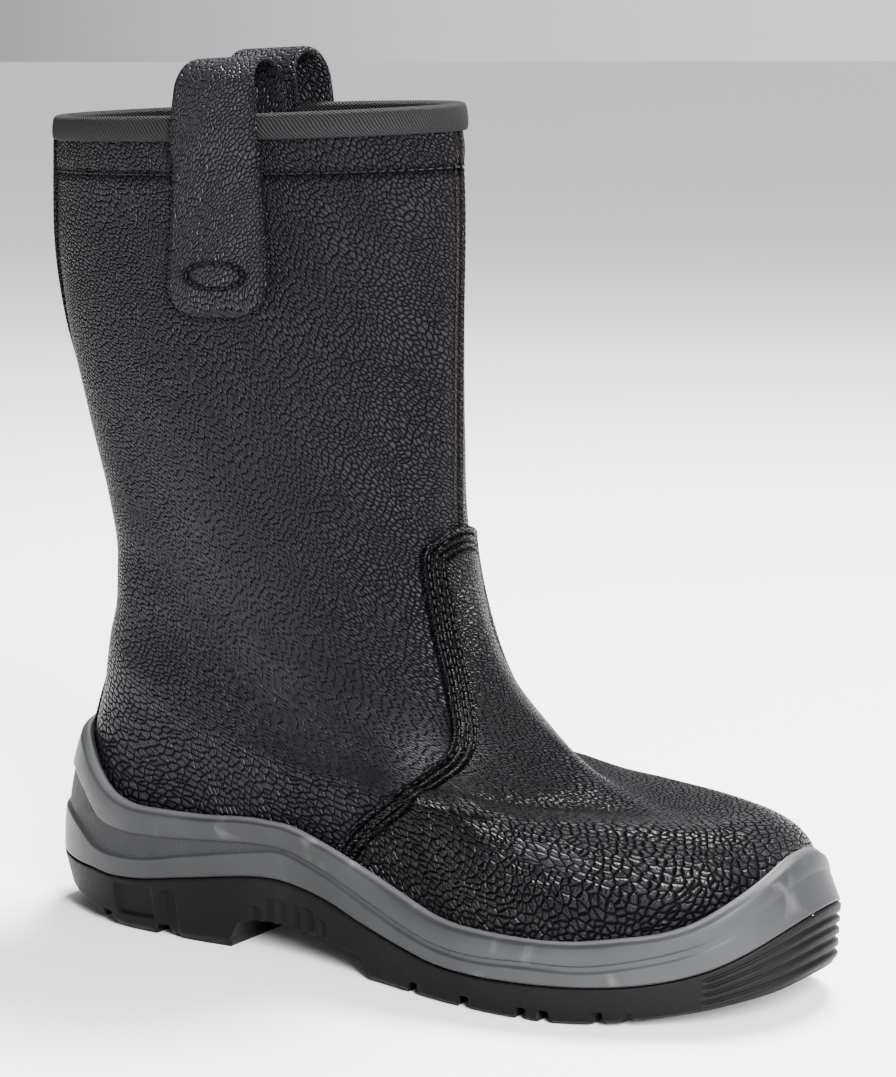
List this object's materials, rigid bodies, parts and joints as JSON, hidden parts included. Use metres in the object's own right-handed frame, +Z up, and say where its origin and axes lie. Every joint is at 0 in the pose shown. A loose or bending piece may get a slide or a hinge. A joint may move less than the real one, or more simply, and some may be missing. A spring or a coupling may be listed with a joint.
{
  "type": "rigger boot",
  "caption": "Tall pull-on rigger boot in black grained leather, with a vamp overlay, rolled collar binding, two pull loops, a moulded grey midsole and a cleated black outsole.",
  "frame": {"origin": "centre of the boot's box in plan, on the floor under the tread", "axes": "+X from the heel towards the toe, +Y towards the inside of the leg (the other foot), +Z up"},
  "size_m": [0.3106, 0.1072, 0.316],
  "materials": {
    "outsole_rubber": "matt moulded rubber",
    "midsole_foam": "satin moulded polyurethane",
    "leg_leather": "pebbled, semi-matt",
    "vamp_leather": "pebbled, satin",
    "binding_fabric": "ribbed, matt",
    "loop_leather": "stretched grain, semi-matt",
    "insole_fabric": "fleecy, matt"
  },
  "bodies": {
    "root": {"outsole": "outsole_rubber", "midsole": "midsole_foam", "upper": "leg_leather", "vamp": "vamp_leather", "back_strip": "leg_leather", "collar_binding": "binding_fabric", "pull_loop_outer": "loop_leather", "pull_loop_inner": "loop_leather", "insole": "insole_fabric"}
  },
  "joints": []
}
